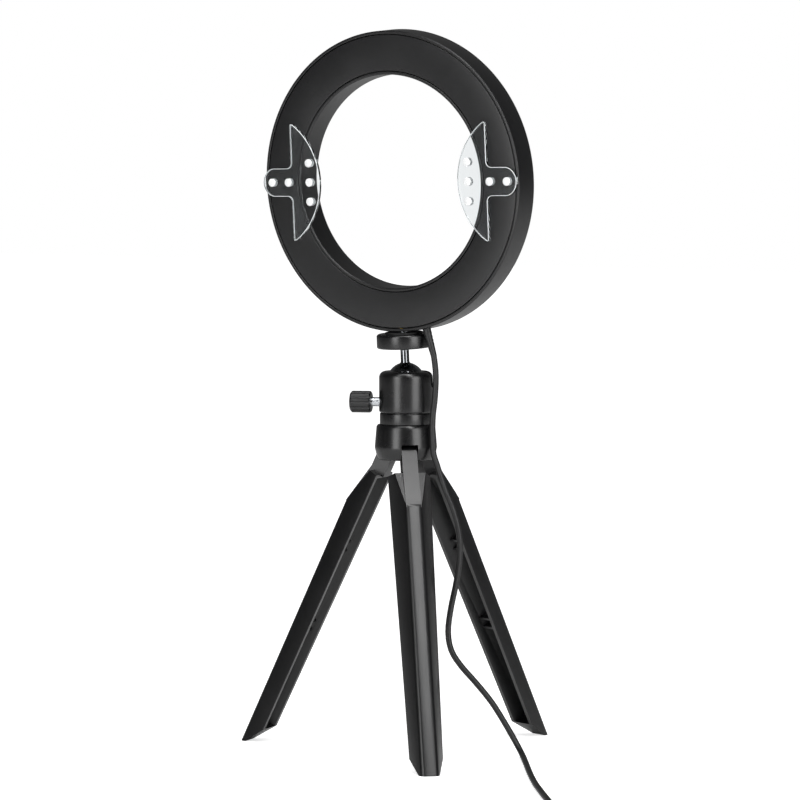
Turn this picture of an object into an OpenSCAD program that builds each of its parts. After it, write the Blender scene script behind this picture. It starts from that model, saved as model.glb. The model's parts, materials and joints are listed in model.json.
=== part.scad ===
// Desk ring light: a ring lamp on a small ball head and a folding tripod,
// with a USB lead that carries a hand-held control.
// Millimetres, +Z up. The origin is on the tripod's axis, on the surface it stands on.
// The lamp shines towards -Y at rest.

/* [Ring lamp] */
// Outer radius of the ring
ring_r = 80; // [70:1:100]
// Inner radius of the ring
ring_inner_r = 56.2; // [45:0.5:60]
// Depth of the ring, front to back
ring_depth = 15.1; // [12:0.1:24]
// Wall thickness of the ring's shell
ring_wall = 2; // [1.6:0.1:3]
// Thickness of the rear plate
plate_t = 1.6; // [1:0.1:2.5]
// Thickness of the opal diffuser
diffuser_t = 1.5; // [1:0.1:2.5]
// Thickness of the circuit board
board_t = 1.2; // [0.8:0.1:2]
// Number of light-emitting diodes
led_count = 60; // [24:6:90]
// Number of screws that hold the circuit board
board_screw_count = 6; // [3:1:8]

/* [Clear brackets] */
// Thickness of each clear bracket
bracket_t = 2; // [1.5:0.1:3]
// Gap between the rear plate and the bracket
bracket_gap = 1; // [0.5:0.1:3]
// How far the bracket reaches into the ring's hole, from its inner edge
bracket_reach = 12.8; // [8:0.1:20]
// Radius of the bracket's curved edge
bracket_arc_r = 37.4; // [30:0.1:50]
// How far the curved part laps onto the ring, from its inner edge
bracket_lap = 5.4; // [4:0.1:8]
// Width of the bracket's tab
tab_w = 15; // [12:0.5:20]
// Diameter of a stud's head
stud_d = 4.4; // [3.5:0.1:6]

/* [Ball head] */
// Height of the ball's centre above the surface
ball_z = 197.4; // [190:0.1:205]
// Radius of the ball
ball_r = 10.25; // [9:0.05:11]
// Diameter of the ball's stem
stem_d = 4.6; // [4:0.1:7]
// Height of the platform's underside above the ball's centre
platform_lift = 18.1; // [16:0.1:25]
// Radius of the platform
platform_r = 14.7; // [12:0.1:18]
// Height of the platform
platform_h = 7.6; // [5:0.1:12]
// Radius of the socket housing
socket_r = 14.3; // [13.5:0.1:17]
// Height of the socket's lip above the ball's centre
socket_lip = 4.9; // [4:0.1:6]
// Height of the lock knob's axis above the surface
knob_z = 186.3; // [185:0.1:187.5]
// Diameter of the lock knob
knob_d = 11.7; // [9:0.1:14]
// Length of the lock knob
knob_len = 11.3; // [8:0.1:14]
// Tilt of the lamp, lit side up, in degrees
lamp_tilt = 2.9; // [0:0.1:5]
// Sideways lean of the lamp, in degrees
lamp_lean = 0.8; // [0:0.1:2]

/* [Tripod] */
// Radius of the hub at its widest
hub_r = 16.6; // [16:0.1:17]
// Width of a leg's tongue in the hub
tongue_w = 8.2; // [7:0.1:9]
// Diameter of the leg pins
pin_d = 3; // [2.5:0.1:4]
// Distance of a leg pin from the tripod's axis
pin_r = 10; // [9.6:0.1:10.4]
// Height of the leg pins above the surface
pin_z = 159.5; // [155:0.5:165]
// Spread of each leg from the vertical, in degrees
leg_spread = 25; // [22:0.5:28]
// Width of a leg at its top
leg_top_w = 22.6; // [20:0.1:22.8]
// Width of a leg at its foot
leg_foot_w = 17.2; // [14:0.1:20]
// Depth of a leg at its top
leg_top_depth = 13.2; // [12:0.1:14]
// Depth of a leg at its foot
leg_foot_depth = 11; // [9:0.1:13]
// Wall thickness of a leg
leg_wall = 2; // [1.4:0.1:2.5]
// Distance between the two ribs of a pair
rib_gap = 5.4; // [4:0.1:8]

/* [Lead and control] */
// Diameter of the lead
cord_d = 3.2; // [3:0.1:3.4]
// Length of the hand-held control
remote_len = 54; // [45:1:70]
// Width of the hand-held control
remote_w = 17; // [15:1:22]
// Height of the hand-held control
remote_h = 10; // [9:0.5:12]
// Travel of a control button
button_travel = 0.5; // [0.3:0.1:0.8]

/* [Fits] */
// Gap between parts that slide or turn past each other
gap = 0.3; // [0.2:0.05:0.4]
// Radial clearance of a running fit
run_fit = 0.05; // [0.02:0.01:0.1]
// Radial clearance of a part that is pressed or glued in
seat_fit = 0.02; // [0.01:0.01:0.05]

/* [Hidden] */
$fn = 96;
cut = 0.01;        // how far a cutter passes the face that it cuts

// ---- the ring lamp, in its own frame: centre at the origin, lit side -Y ----
back_y = ring_depth/2;
rim_w = ring_wall;                        // width of the rims beside the plate and the diffuser
ledge_w = 1.2;                            // width of the ledges that carry both
groove_w = 0.35;                          // shadow line round the plate and the diffuser
outer_in = ring_r - rim_w;                // inside of the outer wall
inner_out = ring_inner_r + rim_w;         // inside of the inner wall
plate_drop = 0.3;                         // how far the plate sits below the rims
web_t = 1.5;                              // thickness of the web that carries the board
web_y = 1.6;                              // front face of the web
board_in = inner_out + 2.2;
board_out = outer_in - 3;
boss_r = 6;                               // boss round the brass insert
boss_h = 11.5;                            // height of that boss inside the ring
insert_r = 4;
insert_len = 9;
thread_r = 3.15;                          // quarter-inch camera thread
led_size = [3.5, 0.9, 2.8];
board_screw_r = 1;
board_screw_at = (board_in + board_out)/2 + 4.2;
gland_x = -16.6;                          // where the lead leaves the ring
gland_y = 3.3;
gland_lean = 15;                          // how far the relief leans outwards, degrees
relief_len = 15.2;
relief_r = 2.2;
relief_spigot = 4;                        // length of the relief inside the wall

// ---- brackets ----
bracket_y = back_y - plate_drop + bracket_gap;
bracket_edge = ring_inner_r + bracket_lap;           // straight edge of the lens, from the centre
bracket_tip = ring_inner_r - bracket_reach;          // innermost point of the lens
tab_end = ring_r - 0.3;
tab_corner = 7;
lens_corner = 1.6;
fillet_r = 3;
stud_shank_r = 1.2;
stud_head_h = 1;
stud_on_tab = [tab_end - 5.8, bracket_edge + 1.8];   // studs over the ring
stud_on_lens = [bracket_edge - 11.7, 10.3];          // distance from the centre, and spacing of the three

// ---- ball head ----
pad_r = 10;
pad_t = 0.8;                              // rubber pad on the platform
screw_depth = 4.2;                          // length of the screw inside the platform
screw_reach = 7;                          // length of the screw above the platform's pad
spigot_r = 2;                             // end of the stem inside the platform
spigot_len = 3;
groove_z = 180.6;                         // joint between the socket housing and its base
base_r = 13.9;
hub_top = 174.5;
socket_top = ball_z + socket_lip + 0.7;
socket_bore_r = 10.9;
knob_azimuth = 23;
knob_stand = 4.3;                         // bare stud between the housing and the knob
stud_r = 2.5;
stud_tip = 5.2;                           // radius at which the stud's tip stops
seat_top = ball_z - 3;
seat_bottom = knob_z + stud_r + 0.1;
notch_w = stem_d + 1.6;                   // drop notch in the socket's lip

ring_lift = platform_lift + platform_h + pad_t + gap + ring_r;   // ring's centre above the ball's centre

// ---- tripod ----
leg_azimuths = [130.5, 250.5, 10.5];      // front, right and left as the lamp's back is seen
hub_low = 156;
slot_w = tongue_w + 2*gap;
slot_floor = pin_z + 5;
fold_in = 24;                             // how far a leg folds in from rest
ridge = 10.15;                            // ridge of a leg outside its pin
foot_drop = 181.5;                        // length of a leg below its pin, before the toe is cut
shoulder_drop = 33.6;                     // where the ramp from the tongue meets the ridge
cap_drop = 11.8;                          // closed top of the channel below the pin
ramp_u = 2.8;                             // top of the ramps beside the tongue, outside the pin
nose_r = 3;                               // rounding of the ridge
nose_half = 2.2;                          // half of the flat between the ridge's two roundings
tongue_r = 4.4;
sole_len = 14;                            // length of the closed foot
toe_flat = 3.5;                           // part of the toe that stands on the surface
toe_rise = 31;                            // slope of the rest of the sole, degrees
toe_out = pin_r + (ridge + pin_z*sin(leg_spread))/cos(leg_spread);   // the toe's distance from the axis
shoulder_slope = -atan2(ridge - ramp_u, shoulder_drop - cap_drop);
rib_t = 1.2;
rib_pairs = [58.2, 106.5];                // the two pairs of ribs, below the pin
rib_z = [for (z = rib_pairs, side = [-1, 1]) z + side*rib_gap/2];
bay_top = concat([cap_drop + leg_wall], [for (z = rib_z) z + rib_t/2]);
bay_low = concat([for (z = rib_z) z - rib_t/2], [foot_drop - sole_len]);
mouth_u = 1.5;                            // the ribs end here, short of the channel's rim

// ---- lead, laid out in a frame turned by this angle about the tripod's axis ----
lay_turn = 213;
cord_r = cord_d/2;
cord_sides = 8;
cord_step = 8.4;
cord_route = [
    [14.9, -14.6, 210.8], [15.7, -14.1, 204], [15.8, -13.2, 197], [15.2, -12.3, 187.5],
    [14.4, -12.1, 181], [14.1, -12.1, 174], [14.3, -12.4, 166], [14.7, -12.5, 159.5],
    [16.6, -12.5, 153.5], [20.6, -12.9, 141], [25.2, -13.8, 129.5], [28.2, -13.9, 117],
    [28.5, -14.3, 105], [26.7, -15.2, 91.5], [23.8, -16.5, 77.5], [22.4, -17.9, 65.5],
    [24, -19.4, 56], [29, -21, 48], [37, -22.5, 39], [45.5, -23, 28.5], [53, -23, 16.5],
    [58.2, -25, 7.5], [61, -31, 2.8], [62, -42, 1.6], [62.8, -65, 1.6], [63.8, -95, 1.6],
    [65.5, -128, 1.6], [68.3, -161, 1.6], [71.5, -192, 1.6], [73, -218, 1.6], [73, -230, 1.6]];
coil_at = [95.4, -243];
coil_in = 11;
coil_out = 25.2;
coil_h = 6.9;
coil_exit = [[88, -218.5, 4.2], [76, -222.5, 5.3], [64, -229, 3.4], [56, -238, 2.4],
    [48.5, -246.6, 4.2], [44, -248, 5], [39, -248, 5]];
tie_w = 4;
tie_t = 0.6;

remote_at = [13, -248];
remote_wall = 1.6;
remote_split = 5.4;                       // height of the joint between the two shells
button_r = 2.6;
button_rise = 0.8;
button_pitch = 10;
remote_relief_len = 5;
plug_route = [[-13, -248, 5], [-20, -248, 5], [-27, -248, 4.5], [-34, -249.6, 3.4], [-40.5, -254.5, 2.2],
    [-43.3, -262, 1.6], [-41.5, -270, 1.8], [-35, -276, 2.6], [-27, -278, 3.2], [-18, -278, 3.8], [-11, -278, 4],
    [-5.5, -278, 4]];
plug_at = [-4, -278];
plug_len = 22;
plug_w = 15.6;
plug_h = 8;
usb_w = 12;
usb_h = 4.5;
usb_len = 18.8;
usb_wall = 0.3;
usb_hold = 5;                             // length of the metal shell inside the overmould
usb_relief_len = 6;

// ---- helpers ----
module lamp() {
    translate([0, 0, ball_z]) rotate([-lamp_tilt, lamp_lean, 0]) children();
}
module ring_frame() {
    lamp() translate([0, 0, ring_lift]) children();
}
// A cylinder along Y from y0 to y1
module disc_y(r, y0, y1) {
    translate([0, y1, 0]) rotate([90, 0, 0]) cylinder(r = r, h = y1 - y0, $fn = 180);
}
module annulus_y(r_in, r_out, y0, y1) {
    difference() {
        disc_y(r_out, y0, y1);
        disc_y(r_in, y0 - cut, y1 + cut);
    }
}
module at_gland() {
    translate([gland_x, gland_y, -sqrt(pow(ring_r, 2) - pow(gland_x, 2))]) rotate([0, 180 + gland_lean, 0]) children();
}
module around(count, r) {
    for (i = [0 : count - 1]) rotate([0, 360*i/count, 0]) translate([r, 0, 0]) children();
}
module laid() { rotate([0, 0, lay_turn]) children(); }

// ---- ring lamp ----
module ring_housing() color("#202124") ring_frame() difference() {
    union() {
        annulus_y(outer_in, ring_r, -back_y, back_y);
        annulus_y(ring_inner_r, inner_out, -back_y, back_y);
        annulus_y(ring_inner_r + 0.5, ring_r - 0.5, web_y, web_y + web_t);
        // ledges under the rear plate and the diffuser
        for (side = [0, 1]) {
            y0 = side == 0 ? back_y - plate_drop - plate_t - 1 : -back_y + plate_drop + diffuser_t;
            annulus_y(outer_in - ledge_w, ring_r - 0.5, y0, y0 + 1);
            annulus_y(ring_inner_r + 0.5, inner_out + ledge_w, y0, y0 + 1);
        }
        intersection() {
            annulus_y(ring_inner_r + 0.5, ring_r - 0.5, -back_y + 3, back_y - 3);
            translate([0, 0, -ring_r]) cylinder(r = boss_r, h = ring_wall + boss_h);
        }
    }
    // blind hole for the brass insert
    translate([0, 0, -ring_r - cut]) cylinder(r = insert_r + seat_fit, h = insert_len + cut);
    at_gland() translate([0, 0, -relief_spigot]) cylinder(r = cord_r + 0.6, h = relief_spigot + 6);
    around(board_screw_count, board_screw_at) disc_y(board_screw_r + seat_fit, web_y - cut, web_y + web_t + cut);
}

module rear_plate() color("#26272a") ring_frame() difference() {
    annulus_y(inner_out + groove_w, outer_in - groove_w,
        back_y - plate_drop - plate_t, back_y - plate_drop);
    for (side = [-1, 1], x = stud_on_tab) translate([side*x, 0, 0])
        disc_y(stud_shank_r + seat_fit, back_y - plate_drop - plate_t - cut, back_y + cut);
}

module diffuser() color("#f4f2ec") ring_frame()
    annulus_y(inner_out + groove_w, outer_in - groove_w,
        -back_y + plate_drop, -back_y + plate_drop + diffuser_t);

module led_board() color("#e9e9e4") ring_frame() difference() {
    annulus_y(board_in, board_out, web_y - board_t, web_y);
    // room for the insert's boss and for the lead
    translate([-boss_r - 13, -back_y, -ring_r]) cube([2*boss_r + 14, ring_depth, ring_wall + boss_h + 1]);
    around(board_screw_count, board_screw_at) disc_y(board_screw_r + 0.1, web_y - board_t - cut, web_y + cut);
}

module leds() color("#f2e27a") ring_frame()
    for (i = [0 : led_count - 1]) rotate([0, 360*(i + 0.5)/led_count, 0])
        translate([board_in + 1.2, web_y - board_t - led_size[1], -led_size[2]/2])
            cube([led_size[0], led_size[1], led_size[2]]);

module board_screws() color("#c9ccd0") ring_frame() around(board_screw_count, board_screw_at) {
    disc_y(board_screw_r, web_y - board_t - cut, web_y + web_t);
    disc_y(1.8, web_y - board_t - 1, web_y - board_t);
}

module tripod_insert() color("#b8963e") ring_frame() difference() {
    // its foot follows the ring's round wall
    intersection() {
        translate([0, 0, -ring_r - 1]) cylinder(r = insert_r, h = insert_len + 1 - seat_fit);
        disc_y(ring_r - 0.2, -back_y, back_y);
    }
    translate([0, 0, -ring_r - 1]) cylinder(r = thread_r + run_fit, h = insert_len);
}

// The bracket's outline in the ring's plane, on the +X side
module bracket_outline() {
    offset(r = -fillet_r, $fn = 32) offset(delta = fillet_r) offset(r = lens_corner, $fn = 32) offset(delta = -lens_corner)
        intersection() {
            translate([bracket_tip + bracket_arc_r, 0]) circle(r = bracket_arc_r, $fn = 128);
            translate([bracket_tip - 1, -50]) square([bracket_edge - bracket_tip + 1, 100]);
        }
    intersection() {
        translate([bracket_edge - 1, -tab_w/2]) square([tab_end - bracket_edge + 1 - tab_corner, tab_w]);
        translate([0, -tab_w/2]) square([tab_end, tab_w]);
    }
    translate([tab_end - tab_corner, 0]) intersection() {
        circle(r = tab_w/2, $fn = 64);
        translate([-cut, -tab_w/2]) square([tab_corner + cut, tab_w]);
    }
    // fillets where the tab meets the straight edge
    for (side = [-1, 1]) translate([bracket_edge, side*tab_w/2]) difference() {
        translate([-cut, side > 0 ? -cut : -fillet_r]) square([fillet_r + cut, fillet_r + cut]);
        translate([fillet_r, side*fillet_r]) circle(r = fillet_r, $fn = 32);
    }
}
module bracket(side) ring_frame() difference() {
    translate([0, bracket_y + bracket_t, 0]) rotate([90, 0, 0]) mirror([side < 0 ? 1 : 0, 0, 0])
        linear_extrude(bracket_t) bracket_outline();
    for (x = stud_on_tab) translate([side*x, 0, 0]) disc_y(stud_shank_r + seat_fit, bracket_y - cut, bracket_y + bracket_t + cut);
    for (k = [-1 : 1]) translate([side*stud_on_lens[0], 0, k*stud_on_lens[1]])
        disc_y(stud_shank_r + seat_fit, bracket_y - cut, bracket_y + bracket_t + cut);
}
// Clear studs: two go on through the rear plate, three end behind the lens
module studs(side) ring_frame() {
    for (x = stud_on_tab) translate([side*x, 0, 0]) {
        disc_y(stud_shank_r, back_y - plate_drop - plate_t, bracket_y + bracket_t + cut);
        disc_y(stud_d/2, bracket_y + bracket_t, bracket_y + bracket_t + stud_head_h);
        annulus_y(stud_shank_r - cut, stud_d/2, back_y - plate_drop, bracket_y);
    }
    for (k = [-1 : 1]) translate([side*stud_on_lens[0], 0, k*stud_on_lens[1]]) {
        disc_y(stud_shank_r, bracket_y - cut, bracket_y + bracket_t + cut);
        disc_y(stud_d/2, bracket_y + bracket_t, bracket_y + bracket_t + stud_head_h);
        disc_y(stud_d/2, bracket_y - stud_head_h, bracket_y);
    }
}
module bracket_left() color("#dfe4e6") bracket(1);
module bracket_right() color("#dfe4e6") bracket(-1);
module bracket_left_studs() color("#c8ced1") studs(1);
module bracket_right_studs() color("#c8ced1") studs(-1);

// Flexible sleeve where the lead leaves the ring
module cord_relief() color("#1b1c1e") ring_frame() at_gland() {
    translate([0, 0, -relief_spigot]) cylinder(r = cord_r + 0.6 - seat_fit, h = relief_spigot + 0.8);
    translate([0, 0, 0.75]) cylinder(r1 = relief_r, r2 = cord_r + 0.05, h = relief_len - 0.75);
}

// ---- ball head ----
module ball_stem() color("#2c2e31") lamp() {
    sphere(r = ball_r);
    cylinder(d = stem_d, h = platform_lift);
    cylinder(r = spigot_r, h = platform_lift + spigot_len);
}

module platform() color("#1e1f21") lamp() translate([0, 0, platform_lift]) difference() {
    rotate_extrude() polygon([[0, 0], [platform_r - 0.8, 0], [platform_r, 0.8], [platform_r, platform_h - 1.2],
        [platform_r - 1.2, platform_h], [0, platform_h]]);
    translate([0, 0, -cut]) cylinder(r = spigot_r + seat_fit, h = spigot_len + cut);
    translate([0, 0, platform_h - screw_depth]) cylinder(r = thread_r + seat_fit, h = screw_depth + cut);
}

module platform_pad() color("#141516") lamp() difference() {
    translate([0, 0, platform_lift + platform_h]) cylinder(r = pad_r, h = pad_t);
    translate([0, 0, platform_lift + platform_h - cut]) cylinder(r = thread_r + 0.3, h = pad_t + 2*cut);
}

module mount_screw() color("#c4c7cb") lamp() translate([0, 0, platform_lift + platform_h - screw_depth])
    cylinder(r = thread_r, h = screw_depth + screw_reach);

module socket_housing() color("#17181a") difference() {
    rotate_extrude() polygon(concat(
        [[0, groove_z + 0.4], [socket_r - 1, groove_z + 0.4], [socket_r, groove_z + 1.2]],
        [for (a = [0 : 10 : 80]) [socket_r - 3.6*(1 - cos(a)), socket_top - 3.6 + 3.6*sin(a)]],
        [[ball_r + 0.2 - 1, socket_top], [0, socket_top]]));
    translate([0, 0, ball_z]) sphere(r = ball_r + 2*run_fit);
    translate([0, 0, groove_z]) cylinder(r = socket_bore_r, h = seat_top + 0.1 - groove_z);
    translate([0, 0, ball_z]) cylinder(r = sqrt(pow(ball_r, 2) - pow(socket_lip, 2)), h = 20);
    translate([0, 0, ball_z + 3]) cylinder(r1 = 8.6, r2 = 11.2, h = 4);
    // drop notch, opposite the knob
    rotate([0, 0, knob_azimuth + 180]) translate([0, 0, ball_z]) rotate([0, 90, 0]) cylinder(d = notch_w, h = socket_r + 3);
    rotate([0, 0, knob_azimuth + 180]) translate([0, -notch_w/2, ball_z]) cube([socket_r + 3, notch_w, 20]);
    rotate([0, 0, knob_azimuth]) translate([0, 0, knob_z]) rotate([0, 90, 0]) cylinder(r = stud_r + run_fit, h = socket_r + 3);
}

// Plastic cup under the ball; the knob's stud wedges it upwards
module ball_seat() color("#d8d6cf") difference() {
    translate([0, 0, seat_bottom]) cylinder(r = socket_bore_r - 0.08, h = seat_top - seat_bottom);
    translate([0, 0, ball_z]) sphere(r = ball_r + 2*run_fit);
}

module head_base() color("#17181a") difference() {
    union() {
        translate([0, 0, hub_top]) rotate_extrude() polygon([[0, 0], [base_r - 0.6, 0], [base_r, 0.6],
            [base_r, groove_z - hub_top - 0.6], [base_r - 0.6, groove_z - hub_top], [0, groove_z - hub_top]]);
        // spigot inside the socket housing
        translate([0, 0, groove_z - cut]) cylinder(r = socket_bore_r - seat_fit, h = knob_z - stud_r - 0.3 - groove_z);
        // shoulder that the housing sits on
        translate([0, 0, groove_z - cut]) cylinder(r = base_r - 0.8, h = 0.4 + cut);
    }
    translate([0, 0, hub_top - cut]) cylinder(r = 2.5 + seat_fit, h = 6);
}

module base_screw() color("#b9bcc0") {
    translate([0, 0, hub_top - 6]) cylinder(r = 2.5, h = 11.5);
    translate([0, 0, hub_top - 9]) cylinder(r = 4.2, h = 3);
}

module at_knob() {
    rotate([0, 0, knob_azimuth]) translate([0, 0, knob_z]) rotate([0, 90, 0]) children();
}
module knob_stud() color("#cfd2d6") at_knob() {
    translate([0, 0, stud_tip]) cylinder(r1 = stud_r - 0.8, r2 = stud_r, h = 1);
    translate([0, 0, stud_tip + 1 - cut]) cylinder(r = stud_r, h = socket_r + knob_stand + 6 - stud_tip - 1);
}
module lock_knob() color("#18191b") at_knob() translate([0, 0, socket_r + knob_stand]) difference() {
    intersection() {
        linear_extrude(knob_len) difference() {
            circle(d = knob_d);
            for (k = [0 : 11]) rotate(30*k) translate([knob_d/2 + 0.35, 0]) circle(r = 0.85, $fn = 24);
        }
        rotate_extrude() polygon([[0, 0], [knob_d/2 - 0.7, 0], [knob_d/2, 0.7], [knob_d/2, knob_len - 1],
            [knob_d/2 - 1, knob_len], [0, knob_len]]);
    }
    translate([0, 0, -cut]) cylinder(r = stud_r + seat_fit, h = 6 + cut);
}

// ---- tripod ----
module hub() color("#1b1c1e") difference() {
    rotate_extrude() polygon([[0, hub_low], [hub_r - 1.9, hub_low], [hub_r - 1.3, hub_low + 0.7], [hub_r, hub_low + 6.2],
        [hub_r - 0.1, hub_low + 8], [hub_r - 0.9, hub_top - 1], [hub_r - 1.6, hub_top], [0, hub_top]]);
    for (a = leg_azimuths) rotate([0, 0, a]) {
        // slot for the leg's tongue, open outwards and downwards
        translate([pin_r - tongue_r - gap, -slot_w/2, hub_low - 1]) cube([30, slot_w, slot_floor - hub_low + 1]);
        translate([pin_r, 7.6, pin_z]) rotate([90, 0, 0]) cylinder(r = pin_d/2 + seat_fit, h = 15.2);
    }
    translate([0, 0, hub_top - 6]) cylinder(r = 2.5 + seat_fit, h = 7);
    translate([0, 0, hub_low - 1]) cylinder(r = 4.2 + seat_fit, h = hub_top - 6 - hub_low + 1);
}

module leg_pins() color("#c4c7cb") for (a = leg_azimuths) rotate([0, 0, a])
    translate([pin_r, 7, pin_z]) rotate([90, 0, 0]) cylinder(r = pin_d/2, h = 14);

// Cross-section of a leg: a rounded ridge and straight flanks to the open side
module leg_section(w, depth, nose) hull() {
    for (side = [-1, 1]) translate([ridge - nose, side*nose_half]) circle(r = nose, $fn = 24);
    translate([ridge - depth, -w/2]) square([0.6, w]);
}
// A leg in its own frame: pin at the origin, leg hanging down, ridge towards +X
module leg_shell() hull() {
    translate([0, 0, -cap_drop - 0.2]) linear_extrude(0.2) leg_section(leg_top_w, leg_top_depth, nose_r);
    translate([0, 0, -foot_drop]) linear_extrude(0.2) leg_section(leg_foot_w, leg_foot_depth, nose_r);
}
// Everything outside the ramp from the cap to the ridge, and `inset` further in
module leg_ramp(inset) translate([ramp_u - inset, -20, -cap_drop]) rotate([0, shoulder_slope, 0])
    translate([0, 0, -40]) cube([20, 40, 60]);
// The hollow, open towards the tripod's axis, with its ribs left standing
module leg_hollow() difference() {
    intersection() {
        translate([-leg_wall, 0, 0]) hull() {
            translate([0, 0, -cap_drop]) linear_extrude(0.2)
                leg_section(leg_top_w - 2*leg_wall, leg_top_depth, nose_r - 1.4);
            translate([0, 0, -foot_drop]) linear_extrude(0.2)
                leg_section(leg_foot_w - 2*leg_wall, leg_foot_depth, nose_r - 1.4);
        }
        union() {
            for (k = [0 : len(bay_top) - 1]) translate([-leg_top_w, -leg_top_w, -bay_low[k]])
                cube([2*leg_top_w, 2*leg_top_w, bay_low[k] - bay_top[k]]);
            translate([mouth_u - leg_top_w, -leg_top_w, sole_len - foot_drop])
                cube([leg_top_w, 2*leg_top_w, foot_drop - sole_len - cap_drop - leg_wall]);
        }
    }
    leg_ramp(leg_wall);
}
module leg_body() difference() {
    union() {
        difference() {
            leg_shell();
            leg_hollow();
            leg_ramp(0);
        }
        // tongue with its round end
        translate([0, tongue_w/2, 0]) rotate([90, 0, 0]) cylinder(r = tongue_r, h = tongue_w);
        translate([-tongue_r, -tongue_w/2, -cap_drop - 1]) cube([2*tongue_r, tongue_w, cap_drop + 1]);
        // the tongue runs on into the ridge
        translate([0, tongue_w/2, 0]) rotate([90, 0, 0]) linear_extrude(tongue_w) polygon([
            [0, 2 - cap_drop], [tongue_r, 2 - cap_drop], [ridge - 0.2, -shoulder_drop],
            [ridge - nose_r, -shoulder_drop - 1], [1, -cap_drop - 4]]);
    }
    translate([0, tongue_w, 0]) rotate([90, 0, 0]) cylinder(r = pin_d/2 + run_fit, h = 2*tongue_w);
}
module leg(i) color("#1d1e20") difference() {
    rotate([0, 0, leg_azimuths[i]]) translate([pin_r, 0, pin_z]) rotate([0, -leg_spread, 0]) leg_body();
    // the toe stands flat on the surface, and the rest of the sole rises inwards
    translate([-200, -200, -60]) cube([400, 400, 60]);
    rotate([0, 0, leg_azimuths[i]]) translate([toe_out - toe_flat, -20, 0]) rotate([0, toe_rise, 0])
        translate([-40, 0, -60]) cube([40, 40, 60]);
}
module leg_front() leg(0);
module leg_left() leg(2);
module leg_right() leg(1);

// ---- lead ----
function mix(p, q, t) = p*(1 - t) + q*t;
// Catmull-Rom curve through a route's points
function curve_at(pts, i, t) = let (n = len(pts) - 1,
        a = pts[max(i - 1, 0)], b = pts[i], c = pts[min(i + 1, n)], d = pts[min(i + 2, n)])
    0.5*(2*b + (c - a)*t + (2*a - 5*b + 4*c - d)*t*t + (3*b - a - 3*c + d)*t*t*t);
function along(pts, step) = concat([for (i = [0 : len(pts) - 2])
        let (n = max(1, round(norm(pts[i + 1] - pts[i])/step))) for (k = [0 : n - 1]) curve_at(pts, i, k/n)],
    [pts[len(pts) - 1]]);
function unit(v) = v/norm(v);
function ring_of(line, i, r, up) = let (n = len(line) - 1,
        t = unit(line[min(i + 1, n)] - line[max(i - 1, 0)]), u = unit(cross(t, up)), v = cross(t, u))
    [for (s = [0 : cord_sides - 1]) line[i] + r*(u*cos(360*s/cord_sides) + v*sin(360*s/cord_sides))];
module tube(route, r, up) {
    line = along(route, cord_step);
    n = len(line);
    m = cord_sides;
    polyhedron(
        points = [for (i = [0 : n - 1]) each ring_of(line, i, r, up)],
        faces = concat(
            [[for (s = [0 : m - 1]) s]],
            [for (i = [0 : n - 2], s = [0 : m - 1])
                [i*m + s, (i + 1)*m + s, (i + 1)*m + (s + 1) % m, i*m + (s + 1) % m]],
            [[for (s = [m - 1 : -1 : 0]) (n - 1)*m + s]]));
}
module power_cord() color("#1a1a1c") laid() tube(cord_route, cord_r - 0.06, [1, 1, 1]);

module cord_coil() color("#1a1a1c") laid() union() {
    translate([coil_at[0], coil_at[1], 0]) rotate_extrude() translate([coil_in, 0])
        polygon([[1, 0], [coil_out - coil_in - 1, 0], [coil_out - coil_in, 1], [coil_out - coil_in, coil_h - 1],
            [coil_out - coil_in - 1, coil_h], [1, coil_h], [0, coil_h - 1], [0, 1]]);
    tube(coil_exit, cord_r - 0.06, [1, 1, 1]);
}

module coil_tie() color("#101011") laid() translate([coil_at[0], coil_at[1], 0]) 
    difference() {
        translate([coil_in - gap - tie_t, -tie_w/2, 0])
            cube([coil_out - coil_in + 2*gap + 2*tie_t, tie_w, coil_h + gap + tie_t]);
        translate([coil_in - gap, -tie_w/2 - cut, -cut])
            cube([coil_out - coil_in + 2*gap, tie_w + 2*cut, coil_h + gap + cut]);
    }

// ---- hand-held control ----
module remote_slab(inset, z0, z1) translate([remote_at[0], remote_at[1], z0]) linear_extrude(z1 - z0) hull()
    for (side = [-1, 1]) translate([side*(remote_len - remote_w)/2, 0]) circle(r = remote_w/2 - inset, $fn = 64);
module remote_ports() for (side = [-1, 1]) translate([remote_at[0] + side*(remote_len/2 - 5), remote_at[1], remote_h/2])
    rotate([0, side*90, 0]) cylinder(r = cord_r + 0.7, h = 8);
module at_buttons() for (k = [-1 : 1]) translate([remote_at[0] + k*button_pitch, remote_at[1], 0]) children();

module remote_base() color("#1f2022") laid() difference() {
    remote_slab(0, 0, remote_split);
    remote_slab(remote_wall, remote_wall, remote_split + 1);
    remote_ports();
}
module remote_cover() color("#232427") laid() difference() {
    remote_slab(0, remote_split, remote_h);
    remote_slab(remote_wall, remote_split - 1, remote_h - remote_wall);
    remote_ports();
    at_buttons() cylinder(r = button_r + 0.2, h = remote_h + 1);
}
module remote_board() color("#2f6b3c") laid() intersection() {
    remote_slab(remote_wall + 0.15, remote_wall, remote_wall + 2.2);
    translate([remote_at[0] - remote_len/2 + 9, remote_at[1] - remote_w/2, remote_wall])
        cube([remote_len - 18, remote_w, 2.2]);
}
module remote_relief(side) laid() translate([remote_at[0] + side*(remote_len/2 - 3), remote_at[1], remote_h/2])
    rotate([0, side*90, 0]) difference() {
        union() {
            cylinder(r = cord_r + 0.7 - seat_fit, h = 3);
            translate([0, 0, 2.9]) cylinder(r1 = cord_r + 0.7 - seat_fit, r2 = cord_r + 0.25, h = remote_relief_len);
        }
        translate([0, 0, 0.8]) cylinder(r = cord_r, h = 20);
    }
module remote_relief_in() color("#141415") remote_relief(1);
module remote_relief_out() color("#141415") remote_relief(-1);

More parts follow.
